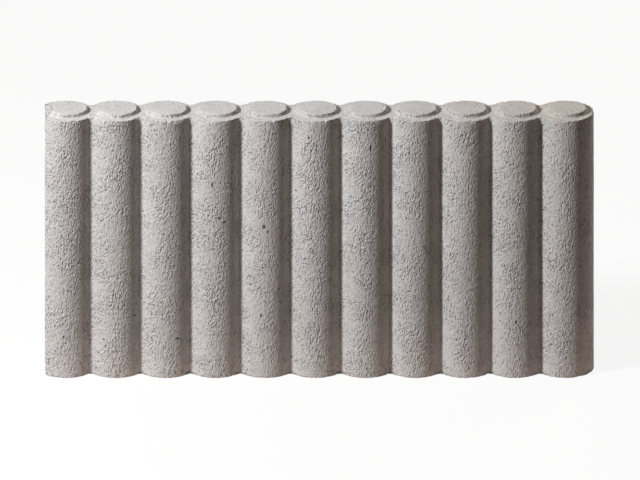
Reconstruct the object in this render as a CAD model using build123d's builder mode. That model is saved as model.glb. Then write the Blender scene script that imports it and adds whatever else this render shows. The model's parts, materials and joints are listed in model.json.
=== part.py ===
"""Palisade edging stone: one concrete casting shaped as a row of round columns.

The stone stands upright along a bed, path or kerb. Its front and back are alike.
The left end has an upright round groove and the right end is a full column, so
that the round end of the next stone nests in the groove. A raised flat disc with
steep sides stands on each column's top, inside a level ledge and a little off the
column's axis, as the stamp pressed it. The foot is plain and flat.

Millimetres. +X runs along the row, -Y is the front, +Z is up, and the origin is
at the middle of the foot.
"""

import os

from build123d import *

# The row of columns, each sunk into its neighbour by the overlap
COLUMN_COUNT = 11
COLUMN_RADIUS = 26.3
COLUMN_OVERLAP = 7.15
COLUMN_PITCH = 2 * COLUMN_RADIUS - COLUMN_OVERLAP
VALLEY_FILLET = 3.5

# Heights
HEIGHT = 255.0
CROWN_DROP = 3.4
LEDGE_HEIGHT = HEIGHT - CROWN_DROP

# The crown of each column: a flat disc, a steep bevel, and a ledge out to the flank,
# with the disc pressed a little to the right of the column's axis
LEDGE_WIDTH = 7.7
BEVEL_WIDTH = 1.6
BEVEL_RADIUS = COLUMN_RADIUS - LEDGE_WIDTH
DISC_RADIUS = BEVEL_RADIUS - BEVEL_WIDTH
CROWN_SHIFT = 2.5

# The groove for the round end of the next stone, which nests a little closer than
# a pitch: the depth is from the end of a full first column to the groove's floor
GROOVE_CLEARANCE = 1.0
GROOVE_DEPTH = 13.1
GROOVE_RADIUS = COLUMN_RADIUS + GROOVE_CLEARANCE
NEST_PITCH = COLUMN_RADIUS - GROOVE_DEPTH + GROOVE_RADIUS

# The lips, where the groove's circle crosses the first column's circle
LIP_REACH = (NEST_PITCH**2 + COLUMN_RADIUS**2 - GROOVE_RADIUS**2) / (2 * NEST_PITCH)

# Places along the row, with the whole length centred on the origin
LENGTH = LIP_REACH + (COLUMN_COUNT - 1) * COLUMN_PITCH + COLUMN_RADIUS
FIRST_COLUMN_X = LIP_REACH - LENGTH / 2
COLUMN_CENTRES = [(FIRST_COLUMN_X + i * COLUMN_PITCH, 0) for i in range(COLUMN_COUNT)]
CROWN_CENTRES = [(x + CROWN_SHIFT, y) for x, y in COLUMN_CENTRES]
GROOVE_CENTRE = (FIRST_COLUMN_X - NEST_PITCH, 0)

with BuildPart() as kerb_stone:
    # Fused round columns, with the sharp inner corners between them rounded
    with BuildSketch(Plane.XY) as plan:
        with Locations(*COLUMN_CENTRES):
            Circle(COLUMN_RADIUS)
        fillet(plan.vertices(), radius=VALLEY_FILLET)
    extrude(amount=LEDGE_HEIGHT)

    # A bevelled crown on each column
    for centre in CROWN_CENTRES:
        with BuildSketch(Plane.XY.offset(LEDGE_HEIGHT)):
            with Locations(centre):
                Circle(BEVEL_RADIUS)
        with BuildSketch(Plane.XY.offset(HEIGHT)):
            with Locations(centre):
                Circle(DISC_RADIUS)
        loft()

    # The mating groove, from the foot to above the crown
    with BuildSketch(Plane.XY):
        with Locations(GROOVE_CENTRE):
            Circle(GROOVE_RADIUS)
    extrude(amount=HEIGHT, mode=Mode.SUBTRACT)

kerb_stone.part.label = "kerb_stone"

os.makedirs("parts", exist_ok=True)
export_step(kerb_stone.part, "parts/kerb_stone.step")

print(f"length {LENGTH:.2f} mm, thickness {2 * COLUMN_RADIUS:.1f} mm, height {HEIGHT:.1f} mm")
print(f"pitch {COLUMN_PITCH:.2f} mm, first column at x {FIRST_COLUMN_X:.3f} mm")
print(f"lips {LIP_REACH:.2f} mm left of it, groove centre at x {GROOVE_CENTRE[0]:.3f} mm")
print(f"volume {kerb_stone.part.volume / 1e6:.4f} litres")
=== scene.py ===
# %% [markdown]
# # A palisade edging stone in pressed concrete
# The object is one casting: eleven round columns fused in a row, each crowned with a raised disc. A
# block press makes it upright in a steel mould from a dry mix, so its skin is a fine grain drawn a
# little upwards by the mould, with small pores and crumbly edges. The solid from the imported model
# gives every outer size here, and this file adds what a CAD solid lacks: the sloping sides of the
# crowns, the worn edges, the relief, the colour, and a studio to see them in.

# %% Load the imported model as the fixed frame
import json
import math

import bpy
import numpy as np
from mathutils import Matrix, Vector


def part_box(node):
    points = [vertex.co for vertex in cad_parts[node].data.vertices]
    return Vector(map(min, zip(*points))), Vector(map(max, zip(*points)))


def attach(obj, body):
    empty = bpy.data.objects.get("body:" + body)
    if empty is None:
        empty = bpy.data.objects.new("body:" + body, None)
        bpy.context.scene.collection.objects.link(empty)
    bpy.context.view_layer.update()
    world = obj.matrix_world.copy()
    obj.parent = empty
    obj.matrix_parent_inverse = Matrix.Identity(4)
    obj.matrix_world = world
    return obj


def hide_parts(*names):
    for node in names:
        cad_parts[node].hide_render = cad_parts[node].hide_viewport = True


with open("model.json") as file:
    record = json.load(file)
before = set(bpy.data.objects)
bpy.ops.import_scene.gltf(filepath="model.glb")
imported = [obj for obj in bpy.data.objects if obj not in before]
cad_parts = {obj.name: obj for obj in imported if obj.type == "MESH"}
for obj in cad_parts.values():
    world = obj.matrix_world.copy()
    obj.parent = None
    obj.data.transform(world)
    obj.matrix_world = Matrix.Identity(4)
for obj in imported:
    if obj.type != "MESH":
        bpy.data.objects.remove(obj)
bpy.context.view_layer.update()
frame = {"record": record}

low, high = (np.array(corner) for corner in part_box("kerb_stone"))
print("box of the solid, mm:", np.round(1000 * (high - low), 2))

# %% [markdown]
# ## Sizes from the frame
# The two ends of the stone are mounts in the record: a round end and the groove that it nests in.
# Their radii and places fix the whole plan. The lips are where the groove's circle crosses the first
# column's circle, so the first column stands one leg of a right-angled triangle behind them, and ten
# equal pitches lead from there to the last column. Only the sizes of the crown and of the rounded
# valleys are not in the record, so they are named here: the crown's flat disc, and the foot of its
# sloping side on the ledge, each with its shift to the right of the column's axis.

# %% Sizes of the plan and the crown
MM = 0.001
mounts = {mount["name"]: mount for mount in frame["record"]["mounts"]}
COLUMN_COUNT = 11
COLUMN_RADIUS = mounts["round_end"]["dims"]["r_mm"] * MM
GROOVE_RADIUS = mounts["grooved_end"]["dims"]["r_mm"] * MM
LEDGE_HEIGHT = mounts["round_end"]["dims"]["length_mm"] * MM
HEIGHT = float(high[2])
VALLEY_FILLET = 3.5 * MM
DISC_RADIUS = 17.0 * MM
DISC_SHIFT = 2.5 * MM
CROWN_FOOT_RADIUS = 19.4 * MM
CROWN_FOOT_SHIFT = 0.6 * MM

groove_x = mounts["grooved_end"]["pos_m"][0] - GROOVE_RADIUS
lip_x = low[0]
lip_y = math.sqrt(GROOVE_RADIUS**2 - (lip_x - groove_x) ** 2)
first_x = lip_x + math.sqrt(COLUMN_RADIUS**2 - lip_y**2)
last_x = mounts["round_end"]["pos_m"][0] - COLUMN_RADIUS
PITCH = (last_x - first_x) / (COLUMN_COUNT - 1)
print(f"pitch {PITCH / MM:.2f} mm, first column at {first_x / MM:.2f} mm, lips at y {lip_y / MM:.2f} mm")

# %% [markdown]
# ## The outline of one column
# Seen from above, a column shows an arc to the front. Where it meets its neighbour, a small arc
# turned the other way rounds the valley. Both arcs are functions of one angle, so the outline could
# be drawn as a curve and swept, but a grid of points gives full control over where the vertices lie:
# close together across the wrinkles of the concrete, which run upwards, and further apart along them.

# %% Front half of a column's outline, as points and outward directions
ARC_STEPS = 36
FILLET_STEPS = 4
fillet_y = math.sqrt((COLUMN_RADIUS + VALLEY_FILLET) ** 2 - (PITCH / 2) ** 2)
tangent_angle = math.atan2(PITCH / 2, fillet_y)
valley_y = fillet_y - VALLEY_FILLET


def column_arc(start, end, steps):
    """Points at the column's radius; angles run from the front (0) towards +X (a quarter turn)."""
    angle = np.linspace(start, end, steps + 1)
    outward = np.column_stack([np.sin(angle), -np.cos(angle)])
    return COLUMN_RADIUS * outward, outward


def valley_arc():
    """From the column's tangent point down to the valley floor, on the small circle between columns.

    The circle's centre is on the plane between the columns, and a point is that centre plus the
    fillet radius times (-sin a, cos a), while a falls from the tangent angle to zero.
    """
    angle = np.linspace(tangent_angle, 0, FILLET_STEPS + 1)
    towards_floor = np.column_stack([-np.sin(angle), np.cos(angle)])
    return np.array([PITCH / 2, -fillet_y]) + VALLEY_FILLET * towards_floor, -towards_floor


def lip_outward():
    """Outward direction at the front lip: halfway between the column's and the groove's."""
    column = np.array([lip_x - first_x, -lip_y]) / COLUMN_RADIUS
    groove = np.array([groove_x - lip_x, lip_y]) / GROOVE_RADIUS
    return (column + groove) / np.linalg.norm(column + groove)


def front_half(index):
    """The front outline of column number index, left to right, about the column's own axis."""
    flip = np.array([-1, 1])
    start = -math.acos(lip_y / COLUMN_RADIUS) if index == 0 else -tangent_angle
    end = math.pi / 2 if index == COLUMN_COUNT - 1 else tangent_angle
    steps = round(ARC_STEPS * (end - start) / (2 * tangent_angle))
    points, outward = column_arc(start, end, steps)
    valley_points, valley_outward = valley_arc()
    if index == 0:
        outward[0] = lip_outward()
    else:
        points = np.vstack([(valley_points * flip)[:0:-1], points])
        outward = np.vstack([(valley_outward * flip)[:0:-1], outward])
    if index < COLUMN_COUNT - 1:
        points = np.vstack([points, valley_points[1:]])
        outward = np.vstack([outward, valley_outward[1:]])
    return points, outward


print("points on the front of an inner column:", len(front_half(1)[0]))

# %% [markdown]
# ## The closed outline
# The fronts follow each other to the right, the backs come home to the left, and the groove's arc
# closes the loop. The back is the front mirrored, as on the real stone, whose two faces come out of
# the same mould alike.

# %% The loop round the whole stone
GROOVE_STEPS = 28
MIRROR = np.array([1, -1])


def groove_half_turn():
    """The groove's wall from the back lip to the front lip, about the first column's axis."""
    half = math.asin(lip_y / GROOVE_RADIUS)
    angle = np.linspace(half, -half, GROOVE_STEPS + 1)
    spoke = np.column_stack([np.cos(angle), np.sin(angle)])
    outward = -spoke
    outward[0], outward[-1] = lip_outward() * MIRROR, lip_outward()
    return np.array([groove_x - first_x, 0]) + GROOVE_RADIUS * spoke, outward


def closed_outline():
    """Plan points, outward directions and owning column of the loop, counterclockwise from above."""
    stretches = []
    for index in range(COLUMN_COUNT):
        points, outward = front_half(index)
        stretches.append((points[:-1], outward[:-1], index))
    for index in reversed(range(COLUMN_COUNT)):
        points, outward = front_half(index)
        stretches.append(((points * MIRROR)[:0:-1], (outward * MIRROR)[:0:-1], index))
    points, outward = groove_half_turn()
    stretches.append((points[:-1], outward[:-1], 0))
    owner = np.concatenate([np.full(len(part[0]), part[2]) for part in stretches])
    return np.vstack([part[0] for part in stretches]), np.vstack([part[1] for part in stretches]), owner


loop_local, loop_outward, loop_owner = closed_outline()
loop_centre = np.column_stack([first_x + PITCH * loop_owner, np.zeros(len(loop_owner))])
print("points round the loop:", len(loop_local))

# %% [markdown]
# ## The crown's height
# Each crown is a low round step on a level ledge. Its flat disc sits a little to the right of its foot,
# because the stamp that pressed it came down off-centre, so the left side slopes and the right side
# is steep. A slanted cone has this shape: at every level it is a circle, whose middle and radius go
# evenly from those of the disc to those of the foot. The corners of the profile are softened,
# because pressed concrete has no sharp ones.

# %% Height of the crown over any point of the plan
CORNER_SHARE = 0.13
disc_middles = first_x + DISC_SHIFT + PITCH * np.arange(COLUMN_COUNT)


def soft_positive(value, softness):
    """The value where it is positive and zero elsewhere, with a smooth turn of the given width."""
    return 0.5 * (value + np.sqrt(value**2 + softness**2))


def crown_height(plan):
    """Full height on the disc, and down the slanted cone to the ledge.

    The share of the way down is t where the distance from the circle's middle at t equals the
    circle's radius at t. With the lead of the middles and the growth of the radius written l and
    g, that is (g2 - l2) t2 + 2 (r g + x l) t = x2 + y2 - r2, and t is its positive root.
    """
    across = plan[..., 0, None] - disc_middles
    nearest = np.abs(across).argmin(axis=-1)[..., None]
    x, y = np.take_along_axis(across, nearest, axis=-1)[..., 0], plan[..., 1]
    lead, growth = CROWN_FOOT_SHIFT - DISC_SHIFT, CROWN_FOOT_RADIUS - DISC_RADIUS
    square, linear = growth**2 - lead**2, DISC_RADIUS * growth + x * lead
    beyond = x**2 + y**2 - DISC_RADIUS**2
    share = (np.sqrt(np.maximum(linear**2 + square * beyond, 0)) - linear) / square
    fall = soft_positive(share, CORNER_SHARE) - soft_positive(share - 1, CORNER_SHARE)
    return HEIGHT - (HEIGHT - LEDGE_HEIGHT) * fall


sample = np.array([[0, 0], [-19, 0], [0, 23]]) * MM + [disc_middles[5], 0]
print("crown heights on the disc, the slope and the ledge, mm:", np.round(crown_height(sample) / MM, 2))

# %% [markdown]
# ## The upright skin
# The loop is carried from the foot to the crown on rows of points. The rows crowd together at both
# ends, where a quarter circle rolls the skin over into the top and the underside. Each row is the
# outline moved inwards by that quarter circle's inset. A Bevel modifier could round the edges as
# well, but the grid has to be dense there anyway, for the crumbling.

# %% Grid of the flanks: rows of the outline, rounded over at both ends
EDGE_RADIUS = 0.8 * MM
MIDDLE_ROWS = 51
NEAR_EDGE_DEPTHS = np.array([1.5, 2.5, 4, 6.5, 9.5]) * MM
weld_inset = EDGE_RADIUS * (1 - math.cos(math.pi / 4))


def flank_grid():
    """Rows by loop points: plan point minus inset times outward direction, at the row's height."""
    roll = np.radians([45, 22.5, 0])
    inset = EDGE_RADIUS * (1 - np.cos(roll))
    depth = EDGE_RADIUS * (1 - np.sin(roll))
    depth = np.concatenate([depth, NEAR_EDGE_DEPTHS])
    inset = np.concatenate([inset, np.zeros(len(NEAR_EDGE_DEPTHS))])
    top = crown_height(loop_centre + loop_local)
    between = np.linspace(0, 1, MIDDLE_ROWS + 2)[1:-1, None]
    upper = top[None, :] - depth[:, None]
    lower = np.broadcast_to(depth[::-1, None], (len(depth), len(top)))
    middle = upper[-1] * (1 - between) + lower[0] * between
    heights = np.vstack([upper, middle, lower])
    insets = np.concatenate([inset, np.zeros(MIDDLE_ROWS), inset[::-1]])
    plan = (loop_centre + loop_local)[None] - insets[:, None, None] * loop_outward[None]
    from_rim = top[None, :] - heights
    return np.dstack([plan, heights, from_rim, heights])


flanks = flank_grid()
print("flank rows and columns:", flanks.shape[:2])

# %% [markdown]
# ## Tops and underside
# Above and below, every column carries a grid like a spider's web: its outermost ring is the
# column's own outline, closed by the planes it shares with its neighbours, and the other rings
# shrink towards the middle of the disc. Rings lie close together over the crown's sloping side, so
# the disc comes out round and clean. Where the outline is nearer to the middle than a ring's radius,
# as at the groove, the rings close up instead.

# %% Rings of one column, from its outline to the middle of its disc
SEAM_STEPS = 12
CLOSEST_SHARES = (0.997, 0.9)
TOP_RADII = np.array([22.6, 21.0, 19.7, 19.0, 18.3, 17.7, 17.2, 16.8, 16.0, 13.0, 9.0, 4.6, 0]) * MM
UNDER_RADII = np.array([18, 9, 0]) * MM


def column_ring(index):
    """The ring round one column's end face, the outline it comes from, and where the two belong.

    Front outline, seam with the next column, back outline, then the groove's wall or the seam with
    the column before. Outline points are already moved in to where the flanks end.
    """
    points, outward = front_half(index)
    back = (points * MIRROR)[::-1], (outward * MIRROR)[::-1]
    seam_y = np.linspace(-1, 1, SEAM_STEPS + 1)[1:-1] * (valley_y - weld_inset)
    seam = np.column_stack([np.full(len(seam_y), PITCH / 2), seam_y]), np.zeros((len(seam_y), 2))
    last = index == COLUMN_COUNT - 1
    if index == 0:
        wall, wall_outward = groove_half_turn()
        left = wall[1:-1], wall_outward[1:-1]
    else:
        left = (seam[0] * [-1, 1])[::-1], seam[1]
    stretches = [(points, outward), seam, back, left]
    if last:
        stretches = [(points, outward), (back[0][1:], back[1][1:]), left]
    outline = np.vstack([part[0] for part in stretches])
    outward = np.vstack([part[1] for part in stretches])
    return outline - weld_inset * outward, outline, np.any(outward != 0, axis=1)


def end_face(index, radii, upwards):
    """Rings by ring points: the ring shrunk along spokes to the disc's middle, at its height.

    A ring lies at its radius, or at a share of the outline's distance where that is nearer; the
    shares run between the closest ones, from the outermost ring to the innermost.

    Within the edge radius of the outline, the height falls by radius minus root of radius squared
    minus shortfall squared, which is the quarter circle that the flanks begin with.
    """
    ring, outline, on_outline = column_ring(index)
    disc_middle = np.array([DISC_SHIFT, 0])
    ring, outline = ring - disc_middle, outline - disc_middle
    reach = np.linalg.norm(ring, axis=1)
    roll = EDGE_RADIUS * (math.cos(math.pi / 4) - np.cos(np.radians([45, 67.5, 90])))
    outer = reach[None, :] - roll[:, None]
    squeeze = np.linspace(*CLOSEST_SHARES, len(radii))[:, None] * outer[-1][None, :]
    distance = np.vstack([outer, np.minimum(radii[:, None], squeeze)])
    plan = distance[:, :, None] * (ring / reach[:, None])[None]
    edge = np.linalg.norm(plan[:, :, None, :] - outline[on_outline][None, None], axis=3).min(axis=2)
    edge[0, on_outline] = weld_inset
    middle = [first_x + PITCH * index + DISC_SHIFT, 0]
    plan = plan + middle
    level_at = plan.copy()
    level_at[0, on_outline] = outline[on_outline] + middle
    short = np.clip(EDGE_RADIUS - edge, 0, EDGE_RADIUS)
    roll_off = EDGE_RADIUS - np.sqrt(EDGE_RADIUS**2 - short**2)
    if upwards:
        level = crown_height(level_at)
        return np.dstack([plan, level - roll_off, edge, level])
    return np.dstack([plan, roll_off, np.full_like(edge, HEIGHT), edge])


tops = [end_face(index, TOP_RADII, True) for index in range(COLUMN_COUNT)]
unders = [end_face(index, UNDER_RADII, False) for index in range(COLUMN_COUNT)]
print("points on the tops:", sum(face.shape[0] * face.shape[1] for face in tops))

# %% [markdown]
# ## One closed mesh
# The grids are joined into one list of points and one list of four-sided faces. Points that fall
# together are merged by rounding their places to a micrometre, and faces that lose a corner there,
# such as those at a disc's middle, become triangles. Every edge then has two faces, and counting
# them is the proof that the stone is closed.

# %% Join the grids and merge the points they share
MICROMETRES = 1e6
# Keeps whole and half micrometres clear of the place where the rounding steps
ROUNDING_SHIFT = 0.37


def grid_faces(rows, columns, first, outwards):
    """Faces of a grid whose columns close into a loop; outwards picks the turning direction."""
    row, column = np.meshgrid(np.arange(rows - 1), np.arange(columns), indexing="ij")
    following = (column + 1) % columns
    corners = [row * columns + column, (row + 1) * columns + column,
               (row + 1) * columns + following, row * columns + following]
    faces = np.stack(corners, axis=-1).reshape(-1, 4) + first
    return faces if outwards else faces[:, ::-1]


def join(grids):
    """All points, all faces, with points merged that lie within a micrometre of each other."""
    points, faces, count = [], [], 0
    for grid, outwards in grids:
        rows, columns = grid.shape[:2]
        faces.append(grid_faces(rows, columns, count, outwards))
        points.append(grid.reshape(-1, 5))
        count += rows * columns
    points = np.vstack(points)
    key = np.floor(points[:, :3] * MICROMETRES + ROUNDING_SHIFT).astype(np.int64)
    _, first, back = np.unique(key, axis=0, return_index=True, return_inverse=True)
    return points[first], back.reshape(-1)[np.vstack(faces)]


def split_by_corners(faces):
    """Faces with four different corners, and the triangles left where two corners merged."""
    same = faces == np.roll(faces, -1, axis=1)
    quads = faces[~same.any(axis=1)]
    merged = faces[same.sum(axis=1) == 1]
    drop = np.argmax(merged == np.roll(merged, -1, axis=1), axis=1)
    keep = (drop[:, None] + np.arange(1, 4)[None]) % 4
    return quads, np.take_along_axis(merged, keep, axis=1)


grids = [(flanks, True)] + [(face, False) for face in tops] + [(face, True) for face in unders]
stone_points, stone_faces = join(grids)
quads, triangles = split_by_corners(stone_faces)
edges = np.vstack([np.column_stack([side[:, k], np.roll(side, -1, axis=1)[:, k]])
                   for side in (quads, triangles) for k in range(side.shape[1])])
_, uses = np.unique(np.sort(edges, axis=1), axis=0, return_counts=True)
print("points:", len(stone_points), "triangles:", 2 * len(quads) + len(triangles))
print("edges without two faces:", int((uses != 2).sum()))

# %% [markdown]
# ## Outward directions of the points
# Relief moves each point along its own normal, and only ever inwards, so that the stone never grows
# past its real size. A point's normal is the sum of the normals of its faces, each as long as the
# face is large, which the cross product of two sides gives at once.

# %% Normals of the points


def point_normals(points, quads, triangles):
    """Sum over the faces at each point of the cross product of two of the face's lines."""
    normals = np.zeros_like(points)
    for faces in (quads, triangles):
        corner = points[faces]
        across = corner[:, 2] - corner[:, 0]
        other = corner[:, 3] - corner[:, 1] if faces.shape[1] == 4 else corner[:, 2] - corner[:, 1]
        face_normal = np.cross(across, other)
        for axis in range(3):
            weight = np.repeat(face_normal[:, axis], faces.shape[1])
            normals[:, axis] += np.bincount(faces.reshape(-1), weight, len(points))
    return normals / np.linalg.norm(normals, axis=1, keepdims=True)


smooth_points = stone_points[:, :3]
smooth_normals = point_normals(smooth_points, quads, triangles)
print("mean outward x of the right end:", round(float(smooth_normals[smooth_points[:, 0].argmax(), 0]), 3))

# %% [markdown]
# ## Random relief with a memory
# The relief has to be the same on every run, so it comes from a hash: whole numbers of a lattice and
# a seed are mixed into a number that looks random. Between lattice points the values are blended
# with a fade that is flat at both ends, which is called value noise. Stretching the lattice makes
# wrinkles instead of lumps.

# %% Seeded value noise on a stretched lattice
LAYERS = 2


def hashed(cell, seed):
    """A number from -1 to 1 for each row of whole numbers, by multiplying, shifting and masking."""
    mask = 0xFFFFFFFF
    mixed = (cell[..., 0] * 374761393 + cell[..., 1] * 668265263 + cell[..., 2] * 1442695041
             + seed * 974634777) & mask
    mixed = ((mixed ^ (mixed >> 13)) * 1274126177) & mask
    return ((mixed ^ (mixed >> 16)) & 0xFFFFFF) / 0x7FFFFF - 1


def noise(points, cell, seed):
    """Blend of the hashed values at the eight corners of the lattice cell that holds each point."""
    place = points / (np.array(cell) * MM)
    base = np.floor(place).astype(np.int64)
    part = place - base
    fade = part**3 * (part * (part * 6 - 15) + 10)
    total = np.zeros(len(points))
    for corner in np.ndindex(2, 2, 2):
        offset = np.array(corner)
        weight = np.where(offset, fade, 1 - fade).prod(axis=1)
        total += weight * hashed(base + offset, seed)
    return total


def layered(points, cell, seed):
    """Noise plus half as much at half the size, and so on, scaled back to about -1 to 1."""
    total = sum(noise(points, np.array(cell) / 2**k, seed + k) / 2**k for k in range(LAYERS))
    return total / (2 - 2.0 ** (1 - LAYERS))


print("spread of the noise:", round(float(noise(smooth_points, (9, 9, 9), 3).std()), 3))

# %% [markdown]
# ## The skin of pressed concrete
# Four things shape it. The mould leaves the faces gently uneven. Drawing the mould off drags fine
# wrinkles upwards in them. Crumbs break away along the crown's edges, the lips of the groove and the
# foot. The tops, pressed by the stamp, are only pitted, and the underside, which lay on a board, is
# nearly flat. Each is a noise of its own size, and all of them only take material away.

# %% Relief of the stone
UNEVEN_DEPTH = 0.30 * MM
UNEVEN_CELL = (31, 31, 45)
WRINKLE_DEPTH = 0.10 * MM
WRINKLE_CELL = (2.6, 2.6, 6)
WRINKLE_MIDDLE = 0.55
WRINKLE_SHARE = 0.45
FOLD_CELL = (5.5, 5.5, 16)
FOLD_SHARE = 0.25
STAMP_DEPTH = 0.22 * MM
STAMP_CELL = (3.0, 3.0, 3.0)
CRUMB_DEPTH = 2.4 * MM
CRUMB_REACH = 1.5 * MM
CRUMB_CELL = (2.6, 2.6, 2.2)
CRUMB_THRESHOLD = 0.05
FOOT_DEPTH = 0.9 * MM
LIP_WEAR = 0.25 * EDGE_RADIUS
TOP_MARGIN = 0.1 * MM
TOP_BLEND = 0.4 * MM
BOARD_BLEND = 0.2 * MM
BOARD_FLATNESS = 0.9
SEEDS = {"uneven": 11, "wrinkle": 23, "fold": 37, "stamp": 41, "crumb": 53}


def near(distance):
    """One at an edge, falling off over the crumbs' reach as the bell curve does."""
    return np.exp(-(distance / CRUMB_REACH) ** 2)


def edge_loss(points, from_rim, from_foot):
    """Crumbs where a lumpy noise passes its threshold, as deep as the nearest edge allows."""
    crumb = np.clip(layered(points, CRUMB_CELL, SEEDS["crumb"]) - CRUMB_THRESHOLD, 0, 1)
    lip = near(np.hypot(points[:, 0] - lip_x, np.abs(points[:, 1]) - lip_y))
    upper = CRUMB_DEPTH * near(from_rim)
    lower = FOOT_DEPTH * near(from_foot)
    return np.maximum(upper, np.maximum(lower, CRUMB_DEPTH * lip)) * crumb + LIP_WEAR * lip


def relief_depth(points, from_rim, from_foot):
    """How far each point sinks: unevenness, then wrinkles or stamp marks by height, then crumbs.

    A wrinkle is noise drawn out upwards, less the cube of a ridge, which is 1 minus the size of
    another noise, so that sharp crests stand among rounded hollows.
    """
    on_top = np.clip((points[:, 2] - LEDGE_HEIGHT + TOP_MARGIN) / TOP_BLEND, 0, 1)
    uneven = UNEVEN_DEPTH * (0.5 + 0.5 * layered(points, UNEVEN_CELL, SEEDS["uneven"]))
    wrinkle = layered(points, WRINKLE_CELL, SEEDS["wrinkle"])
    ridge = 1 - np.abs(noise(points, FOLD_CELL, SEEDS["fold"]))
    skin = WRINKLE_DEPTH * (WRINKLE_MIDDLE - WRINKLE_SHARE * wrinkle - FOLD_SHARE * ridge**3)
    stamped = STAMP_DEPTH * (0.5 - 0.5 * layered(points, STAMP_CELL, SEEDS["stamp"]))
    on_board = np.clip(1 - points[:, 2] / BOARD_BLEND, 0, 1)
    body = uneven + (1 - on_top) * skin + on_top * stamped
    return (1 - BOARD_FLATNESS * on_board) * body + edge_loss(points, from_rim, from_foot)


depth = relief_depth(smooth_points, stone_points[:, 3], stone_points[:, 4])
shaped_points = smooth_points - depth[:, None] * smooth_normals
shaped_points = np.clip(shaped_points, low, high)
print("relief depth, mm: mean", round(depth.mean() / MM, 3), "most", round(depth.max() / MM, 3))

# %% [markdown]
# ## A mesh from arrays
# Blender takes a mesh as lists of points and faces. The stone stays at the origin with its place in
# its points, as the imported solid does. Every face is smooth-shaded, because the relief, and not the
# faces, should show.

# %% Mesh objects


def mesh_object(name, points, faces, material):
    """A smooth-shaded mesh object at the origin from arrays of points and of faces."""
    mesh = bpy.data.meshes.new(name)
    mesh.from_pydata(points.tolist(), [], [face for part in faces for face in part.tolist()])
    mesh.polygons.foreach_set("use_smooth", np.ones(len(mesh.polygons), dtype=bool))
    mesh.materials.append(material)
    mesh.validate()
    mesh.update()
    piece = bpy.data.objects.new(name, mesh)
    bpy.context.scene.collection.objects.link(piece)
    return piece


# %% [markdown]
# ## Shader maths as Python
# A material is a small program of nodes. Writing it as expressions keeps it readable: this class
# holds one socket, and each operator adds the Math node it stands for. Every other node is made by
# one method, from its type, its settings and what goes into its sockets.

# %% A socket that takes part in expressions


class Field:
    """One value of a shader: arithmetic on it adds Math nodes to the same node tree."""

    def __init__(self, tree, socket=None):
        self.tree = tree
        self.socket = socket

    def make(self, kind, settings=None, sockets=None, output=0):
        """Add a node: settings first, then each socket's number or link; gives one output."""
        node = self.tree.nodes.new(kind)
        for name, value in (settings or {}).items():
            setattr(node, name, value)
        for name, value in (sockets or {}).items():
            if isinstance(value, Field):
                self.tree.links.new(value.socket, node.inputs[name])
            else:
                node.inputs[name].default_value = value
        return Field(self.tree, node.outputs[output])

    def math(self, operation, *terms):
        """A Math node of the given operation on the terms, each a field or a number."""
        return self.make("ShaderNodeMath", {"operation": operation}, dict(enumerate(terms)))

    def __add__(self, other):
        return self.math("ADD", self, other)

    def __sub__(self, other):
        return self.math("SUBTRACT", self, other)

    def __mul__(self, other):
        return self.math("MULTIPLY", self, other)

    def __rsub__(self, other):
        return self.math("SUBTRACT", other, self)

    __radd__ = __add__
    __rmul__ = __mul__

    def coordinate(self, name):
        """One coordinate of a place, X, Y or Z."""
        return self.make("ShaderNodeSeparateXYZ", {}, {"Vector": self}, output=name)

    def stretched(self, x, y, z):
        """A place with each of its coordinates multiplied by a number."""
        return self.make("ShaderNodeVectorMath", {"operation": "MULTIPLY"}, {0: self, 1: (x, y, z)})

    def less(self, middle):
        """A place or colour with three numbers taken from it."""
        return self.make("ShaderNodeVectorMath", {"operation": "SUBTRACT"}, {0: self, 1: middle})

    def length(self):
        """The distance of a place from the origin."""
        return self.make("ShaderNodeVectorMath", {"operation": "LENGTH"}, {0: self}, output="Value")

    def cells(self, size):
        """Distance to the nearest of points strewn one to a cell, with that size as its unit."""
        return self.make("ShaderNodeTexVoronoi", {}, {"Vector": self, "Scale": 1 / size}, output="Distance")

    def noise(self, size, detail=2.0, roughness=0.5):
        """Noise about zero, from -0.5 to 0.5, with features of the given size in millimetres."""
        sockets = {"Vector": self, "Scale": 1 / size, "Detail": detail, "Roughness": roughness}
        return self.make("ShaderNodeTexNoise", {}, sockets) - 0.5

    def between(self, low, high, invert=False):
        """A smooth step from 0 at low to 1 at high."""
        to = {"To Min": 1.0, "To Max": 0.0} if invert else {}
        sockets = {"Value": self, "From Min": low, "From Max": high, **to}
        return self.make("ShaderNodeMapRange", {"interpolation_type": "SMOOTHSTEP"}, sockets)

    def blend(self, under, over):
        """A colour mixed from two, with this value as the factor."""
        return self.make("ShaderNodeMix", {"data_type": "RGBA"}, {0: self, 6: under, 7: over}, output=2)


# %% [markdown]
# ## Where on the stone
# The finish changes with the place. The level tops were smoothed by the stamp and are painted paler,
# partly as painted light from above and partly for the stamp's paler skin; those at the right end are
# warmer. The crowns' sides and the rim below them are rough from crumbling, and the crowns' sides are
# also painted darker, as painted shade. At the foot the valleys get a painted shadow. A mask is a
# smooth step in height, in depth or in the way a face points, all in Object coordinates, so that it
# stays with the stone.

# %% Masks by place
LEDGE_MM = LEDGE_HEIGHT / MM
TOP_MM = HEIGHT / MM
LEVEL_FACES = (0.6, 0.9)
RIM_BAND = (LEDGE_MM - 4.1, LEDGE_MM - 1.1)
SIDE_START = (LEDGE_MM, LEDGE_MM + 0.6)
SIDE_END = (TOP_MM - 0.8, TOP_MM - 0.2)
FOOT_BAND = (0.5, 4.0)
VALLEY_BAND = (17.5, 21.0)
WARM_STRETCH = (20, 240)


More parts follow.
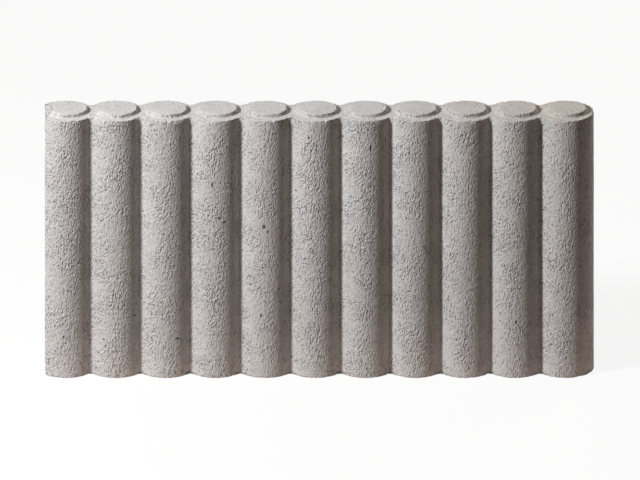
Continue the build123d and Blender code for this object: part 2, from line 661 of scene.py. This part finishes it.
def place_masks(place):
    """Level faces, the rim under the crowns, the crowns' sides, the foot, painted shadow in its valleys,
    the warm end.
    """
    level = place.make("ShaderNodeTexCoord", output="Normal").coordinate("Z").between(*LEVEL_FACES)
    height = place.coordinate("Z")
    depth = place.coordinate("Y")
    foot = height.between(*FOOT_BAND, invert=True)
    valley = depth.math("ABSOLUTE", depth).between(*VALLEY_BAND, invert=True)
    return {
        "level": level,
        "rim": height.between(*RIM_BAND) * (1 - level),
        "crown_side": height.between(*SIDE_START) * height.between(*SIDE_END, invert=True),
        "foot": foot,
        "valley_foot_shadow": foot * valley,
        "warm_end": level * place.coordinate("X").between(*WARM_STRETCH),
    }


# %% [markdown]
# ## The larger pits
# Air that was trapped against the mould leaves holes a few millimetres wide. There are so few on the
# front that they are listed one by one, each with its column, its distance across from the column's
# axis, its height and its half sizes, in millimetres. A hole is a small ellipsoid about a place on
# the column's surface, and whatever lies inside it is dark and sunk.

# %% Pits listed one by one
PITS = [
    # column, across, height, half width, half height
    (0, -2, 40, 1.1, 1.7), (1, -11, 37, 1.2, 1.2), (1, 17, 59, 1.5, 1.1), (2, 11, 38, 2.2, 1.2),
    (1, -16, 23, 1.0, 1.0), (3, -3, 189, 1.0, 3.0), (5, -6, 235, 1.1, 1.4), (6, 5, 225, 1.1, 3.6),
    (5, -18, 181, 1.2, 1.2), (3, 0, 75, 1.1, 1.2), (4, 12, 86, 1.1, 1.5), (4, -4, 61, 1.2, 1.6),
    (9, 1, 55, 1.1, 1.5), (8, -8, 37, 1.0, 1.2), (8, 0, 38, 1.0, 1.2), (9, -22, 47, 1.2, 1.5),
    (4, -1, 148, 1.9, 2.5), (4, 2, 143, 1.1, 1.6), (3, 4, 156, 1.3, 1.9), (3, 8, 152, 1.7, 1.2),
]
PIT_EDGE = (0.55, 1.15)


def named_pits(place):
    """One inside each small ellipsoid about its place on the front, with soft edges, else zero."""
    mask = 0.0
    for column, across, height, half_width, half_height in PITS:
        depth = math.sqrt((COLUMN_RADIUS / MM) ** 2 - across**2)
        away = place.less(((first_x + PITCH * column) / MM + across, -depth, height))
        reach = away.stretched(1 / half_width, 1 / half_width, 1 / half_height).length()
        mask = mask + reach.between(*PIT_EDGE, invert=True)
    return mask.math("MINIMUM", mask, 1.0)


print("pits placed by eye:", len(PITS))

# %% [markdown]
# ## Patterns in the concrete
# Grey cement paste shows through a skin of fine sand. Close by it is speckled at about a millimetre,
# with dents and dimples where grains stuck to the mould, and over a hand's width it drifts between a
# cooler and a warmer grey and is rough only in patches. A photograph could carry all this, but noise
# needs no file, has no seams and stays sharp. Each pattern has its own size, and those that the
# mould dragged upwards read a place that is squeezed along Z. Cells strewn with points give the
# dimples, pinholes and pale grains, because relief from noise alone looks like worms.

# %% Noises, cells and what is made of them
NOISES = {
    # size in mm, squeeze along Z, detail, roughness
    "drift": (38, 1, 3, 0.5),
    "clouds": (9, 1, 3, 0.6),
    "patches": (21, 1, 1, 0.5),
    "dust": (1.2, 1, 1, 0.5),
    "grain": (1.15, 0.7, 1, 0.5),
    "wrinkle": (1.5, 0.4, 1, 0.5),
    "lumps": (2.4, 0.6, 2, 0.6),
    "hollows": (1.8, 0.5, 1, 0.5),
}
DIMPLE_MM = 2.2
DIMPLE_SQUEEZE = 0.55
SWAY_MM = 1.2
SWAY_CELL_MM = 2.6
PINHOLE_MM = 6.5
PINHOLE_PATCH_MM = 13
PALE_GRAIN_MM = 5.3
PALE_GRAIN_PATCH_MM = 11
SMOOTH_STEPS = {
    # where a noise, or the distance to the nearest strewn point, begins and ends its step
    "drift": (-0.22, 0.22),
    "patches": (-0.12, 0.12),
    "dimple": (0.05, 0.62),
    "dent": (-0.22, -0.1),
    "pit": (-0.27, -0.18),
    "pinhole": (0.06, 0.12),
    "pinhole_patch": (-0.04, 0.06),
    "pale_grain": (0.06, 0.18),
    "pale_patch": (0.02, 0.12),
}
WEAR_WEIGHTS = {"rim": 0.05, "foot": 0.03, "crown_side": 0.05}
DENT_EVERYWHERE = 0.4
DENT_IN_PATCHES = 0.6
GRAIN_IN_PITS = 0.5


def weighted(parts, weights):
    """The sum of the named parts, each times its weight."""
    return sum(weight * parts[name] for name, weight in weights.items())


def dimples(place):
    """Cells from -0.5 in the middle to 0.5 at the walls, after a sway by colour noise bends them."""
    sockets = {"Vector": place, "Scale": 1 / SWAY_CELL_MM, "Detail": 1.0}
    sway = place.make("ShaderNodeTexNoise", {}, sockets, output="Color").less((0.5, 0.5, 0.5))
    terms = {0: (SWAY_MM, SWAY_MM, SWAY_MM), 1: sway, 2: place.stretched(1, 1, DIMPLE_SQUEEZE)}
    swayed = place.make("ShaderNodeVectorMath", {"operation": "MULTIPLY_ADD"}, terms)
    return swayed.cells(DIMPLE_MM).between(*SMOOTH_STEPS["dimple"]) - 0.5


def stone_parts(place):
    """Masks and patterns by name. Wear lowers a noise, so that more of it falls under a threshold."""
    parts = place_masks(place)
    for name, (size, squeeze, detail, roughness) in NOISES.items():
        parts[name] = place.stretched(1, 1, squeeze).noise(size, detail, roughness)
    for name in ("drift", "patches"):
        parts[name] = parts[name].between(*SMOOTH_STEPS[name])
    parts["dimple"] = dimples(place)
    wear = weighted(parts, WEAR_WEIGHTS)
    parts["dent"] = (parts["hollows"] - wear).between(*SMOOTH_STEPS["dent"], invert=True)
    parts["patchy_dent"] = parts["dent"] * (DENT_EVERYWHERE + DENT_IN_PATCHES * parts["patches"])
    grainy = parts["lumps"] + GRAIN_IN_PITS * parts["grain"]
    parts["pit"] = (grainy - wear).between(*SMOOTH_STEPS["pit"], invert=True)
    pinhole_patch = place.noise(PINHOLE_PATCH_MM).between(*SMOOTH_STEPS["pinhole_patch"])
    pinhole = place.cells(PINHOLE_MM).between(*SMOOTH_STEPS["pinhole"], invert=True) * pinhole_patch
    parts["pinhole"] = pinhole.math("MAXIMUM", pinhole, named_pits(place))
    pale_patch = place.noise(PALE_GRAIN_PATCH_MM).between(*SMOOTH_STEPS["pale_patch"])
    pale_grain = place.cells(PALE_GRAIN_MM).between(*SMOOTH_STEPS["pale_grain"], invert=True)
    parts["pale_grain"] = pale_grain * pale_patch
    return parts


# %% [markdown]
# ## Colour and bump
# The record's grey is tinted a little by the drift, made lighter and darker by a weighted sum of the
# patterns, and darkened again in pits and pinholes, where no light gets in. The same patterns, with
# other weights, give the height for a Bump node, because a grain of sand is finer than the mesh. On
# the level tops the skin counts for less than half. Concrete is matt all over, so roughness is one
# number.

# %% Material of the pressed concrete
BASE_GREY = frame["record"]["materials"][0]["base_color"]
COOL_TINT = (0.96, 0.97, 1.0)
PLAIN_TINT = (0.99, 0.99, 1.0)
WARM_TINT = (1.0, 0.95, 0.9)
SPOTS = {
    # how much of the colour, and its tint
    "pit": (0.45, (0.35, 0.32, 0.3)),
    "pinhole": (0.85, (0.12, 0.10, 0.09)),
    "pale_grain": (0.5, (1.5, 1.5, 1.48)),
}
SHADE_BASE = 1.01
SHADE_WEIGHTS = {
    # painted light: level faces are made paler, partly as light from above and partly as the stamp's paler
    # skin
    "dust": 0.3, "grain": 0.45, "wrinkle": 0.2, "clouds": 0.25, "dimple": 0.1, "level": 0.13,
    # painted shade: the weight on the crowns' sides darkens them, apart from their real crumbling wear
    "patchy_dent": -0.25, "crown_side": -0.1, "valley_foot_shadow": -0.4,
# painted shadow: the weight on the valleys at the foot darkens them as contact shade
}
SKIN_WEIGHTS = {"grain": 1.2, "lumps": 0.3, "wrinkle": 0.6, "dent": -0.7, "dimple": 0.65}
SKIN_EVERYWHERE = 0.4
SKIN_IN_PATCHES = 0.65
PIT_WEIGHT = 0.35
LEVEL_SMOOTHING = 0.6
BODY_WEIGHTS = {"dust": 0.3, "clouds": 0.4, "pinhole": -0.6}
BUMP_METRES = 0.001
MATT_ROUGHNESS = 0.92
LOW_SHEEN = 0.25


def tinted(factors):
    """The record's grey times a factor for each of red, green and blue, as a node colour."""
    return (*(grey * factor for grey, factor in zip(BASE_GREY, factors)), 1.0)


def stone_colour(parts):
    """Tint, times shade, with the spots laid over it one after the other."""
    colour = parts["drift"].blend(tinted(COOL_TINT), tinted(PLAIN_TINT))
    colour = parts["warm_end"].blend(colour, tinted(WARM_TINT))
    shade = SHADE_BASE + weighted(parts, SHADE_WEIGHTS)
    colour = colour.make("ShaderNodeVectorMath", {"operation": "SCALE"}, {0: colour, "Scale": shade})
    for name, (share, tint) in SPOTS.items():
        colour = (share * parts[name]).blend(colour, tinted(tint))
    return colour


def stone_height(parts):
    """Skin in its rough patches, less the pits, weaker on level faces, plus what is everywhere."""
    rough = SKIN_EVERYWHERE + SKIN_IN_PATCHES * parts["patches"]
    skin = weighted(parts, SKIN_WEIGHTS) * rough - PIT_WEIGHT * parts["pit"]
    return skin * (1 - LEVEL_SMOOTHING * parts["level"]) + weighted(parts, BODY_WEIGHTS)


def concrete_material():
    """Pressed concrete: colour and bump from the stone's parts, in Object coordinates."""
    material = bpy.data.materials.new("pressed_concrete")
    material.use_nodes = True
    tree = material.node_tree
    shader = tree.nodes["Principled BSDF"]
    place = Field(tree).make("ShaderNodeTexCoord", output="Object").stretched(1 / MM, 1 / MM, 1 / MM)
    parts = stone_parts(place)
    tree.links.new(stone_colour(parts).socket, shader.inputs["Base Color"])
    sockets = {"Strength": 1.0, "Distance": BUMP_METRES, "Height": stone_height(parts)}
    bump = place.make("ShaderNodeBump", {}, sockets)
    tree.links.new(bump.socket, shader.inputs["Normal"])
    shader.inputs["Roughness"].default_value = MATT_ROUGHNESS
    shader.inputs["Specular IOR Level"].default_value = LOW_SHEEN
    return material


stone = mesh_object("kerb_stone_cast", shaped_points, (quads, triangles), concrete_material())
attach(stone, "root")
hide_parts("kerb_stone")
print("faces of the stone:", len(stone.data.polygons))
print("nodes in its material:", len(stone.data.materials[0].node_tree.nodes))

# %% [markdown]
# ## A plain pale floor and a white backdrop
# The photograph shows the stone on pure white. To the camera this floor mostly glows white, and the
# small share of it that is lit shows where the stone stands, by the shadow it keeps. Light Path tells
# the camera's rays, and mirror and glass rays, from the rest. For the light that bounces from it the
# floor is warm and dim, paler beside the stone than further off, because the photograph's columns are
# lit a little from below at their feet, and stay dark on their right sides above.

# %% Floor and world
FLOOR_WHITE_SHARE = 0.88
FLOOR_PALE = (0.95, 0.95, 0.95, 1)
FLOOR_NEAR = (0.60, 0.48, 0.42, 1)
FLOOR_FAR = (0.14, 0.10, 0.08, 1)
NEAR_REACH = (0.03, 0.14)
ALONG_ROW = 0.02
FILL_LIGHT = (0.082, 0.050, 0.037, 1)
WHITE = (1, 1, 1, 1)
FLOOR_HALF = 3.0


def seen_directly(tree):
    """One for rays from the camera, from gloss and through glass, and zero for all others."""
    start = Field(tree)
    camera = start.make("ShaderNodeLightPath", output="Is Camera Ray")
    gloss = start.make("ShaderNodeLightPath", output="Is Glossy Ray")
    glass = start.make("ShaderNodeLightPath", output="Is Transmission Ray")
    return camera.math("MAXIMUM", camera, gloss.math("MAXIMUM", gloss, glass))


def floor_material():
    """Nearly white where seen directly; elsewhere warm, and darker with distance from the row."""
    material = bpy.data.materials.new("pale_floor")
    material.use_nodes = True
    tree = material.node_tree
    start = Field(tree)
    place = start.make("ShaderNodeTexCoord", output="Object")
    from_row = place.stretched(ALONG_ROW, 1, 0).length()
    bounce = from_row.between(*NEAR_REACH).blend(FLOOR_NEAR, FLOOR_FAR)
    colour = seen_directly(tree).blend(bounce, FLOOR_PALE)
    diffuse = start.make("ShaderNodeBsdfDiffuse", {}, {"Color": colour})
    white = start.make("ShaderNodeEmission", {}, {"Color": WHITE, "Strength": 1.0})
    share = seen_directly(tree) * FLOOR_WHITE_SHARE
    surface = start.make("ShaderNodeMixShader", {}, {0: share, 1: diffuse, 2: white})
    tree.links.new(surface.socket, tree.nodes["Material Output"].inputs["Surface"])
    return material


def white_world():
    """A world that is white where seen directly and a faint warm fill light otherwise."""
    world = bpy.data.worlds.new("white_backdrop")
    bpy.context.scene.world = world
    world.use_nodes = True
    tree = world.node_tree
    colour = seen_directly(tree).blend(FILL_LIGHT, WHITE)
    tree.links.new(colour.socket, tree.nodes["Background"].inputs["Color"])


floor_corners = np.array([[-1, -1, 0], [1, -1, 0], [1, 1, 0], [-1, 1, 0]]) * FLOOR_HALF
floor = mesh_object("floor", floor_corners, (np.array([[0, 1, 2, 3]]),), floor_material())
white_world()
print("floor side, m:", 2 * FLOOR_HALF)

# %% [markdown]
# ## Light from the front left
# The shading tells where the lamp stood: each column is bright on its left, falls off evenly over its
# front and turns dark a third of a right angle past it. So the key lamp is well to the left, in front
# and above, and near, because the row gets darker from left to right. It is small, as the edge of
# the dark side is crisp, and slightly cool beside the warm fill. Three weaker lamps help: one above
# for the tops, one at the right for the last column, and one low behind, for the views of the back.

# %% Lamps
KEY_COLOUR = (0.97, 0.985, 1.0)


def area_lamp(name, azimuth, elevation, distance, size, power, colour=(1, 1, 1)):
    """A square lamp that looks at the stone's middle; azimuth is in degrees, from front to left."""
    flat = math.cos(math.radians(elevation))
    east = -math.sin(math.radians(azimuth)) * flat
    north = -math.cos(math.radians(azimuth)) * flat
    towards = Vector((east, north, math.sin(math.radians(elevation))))
    data = bpy.data.lights.new(name, "AREA")
    data.shape = "SQUARE"
    data.size = size
    data.energy = power
    data.color = colour
    lamp = bpy.data.objects.new(name, data)
    lamp.location = Vector((0, 0, HEIGHT / 2)) + towards * distance
    lamp.rotation_euler = towards.to_track_quat("Z", "Y").to_euler()
    bpy.context.scene.collection.objects.link(lamp)


area_lamp("key_lamp", azimuth=58.5, elevation=37, distance=1.8, size=0.22, power=37.4, colour=KEY_COLOUR)
area_lamp("top_lamp", azimuth=40, elevation=88, distance=1.6, size=1.0, power=0.6)
area_lamp("right_lamp", azimuth=-95, elevation=15, distance=2.0, size=1.0, power=2.5)
area_lamp("back_lamp", azimuth=215, elevation=16, distance=2.2, size=1.2, power=17)
print("lamps:", len(bpy.data.lights))

# %% [markdown]
# ## The camera
# Upright edges stay parallel in the photograph, so the camera is orthographic: it looks down on the
# stone by the angle at which the crown's discs show as flat ellipses. Its width of view and its
# small steps to the side and up come from where the stone lies in the picture.

# %% Camera
PICTURE_WIDTH, PICTURE_HEIGHT = 640, 480
LEFT_PX, RIGHT_PX, MIDDLE_ROW_PX = 44.4, 594.0, 237.5
LOOK_DOWN = math.radians(21.6)
CAMERA_DISTANCE = 3.0

metres_per_px = float(high[0] - low[0]) / (RIGHT_PX - LEFT_PX)
camera_data = bpy.data.cameras.new("camera")
camera_data.type = "ORTHO"
camera_data.ortho_scale = PICTURE_WIDTH * metres_per_px
camera = bpy.data.objects.new("camera", camera_data)
camera.rotation_euler = (math.pi / 2 - LOOK_DOWN, 0, 0)
picture_up = Vector((0, math.sin(LOOK_DOWN), math.cos(LOOK_DOWN)))
picture_back = Vector((0, -math.cos(LOOK_DOWN), math.sin(LOOK_DOWN)))
side_step = (PICTURE_WIDTH / 2 - (LEFT_PX + RIGHT_PX) / 2) * metres_per_px
up_step = (MIDDLE_ROW_PX - PICTURE_HEIGHT / 2) * metres_per_px
middle = Vector((float(high[0] + low[0]) / 2, 0, HEIGHT / 2))
camera.location = middle + Vector((side_step, 0, 0)) + up_step * picture_up
camera.location += CAMERA_DISTANCE * picture_back
bpy.context.scene.collection.objects.link(camera)
bpy.context.scene.camera = camera
bpy.context.scene.view_settings.view_transform = "Standard"
print("picture scale, px per mm:", round(MM / metres_per_px, 4))
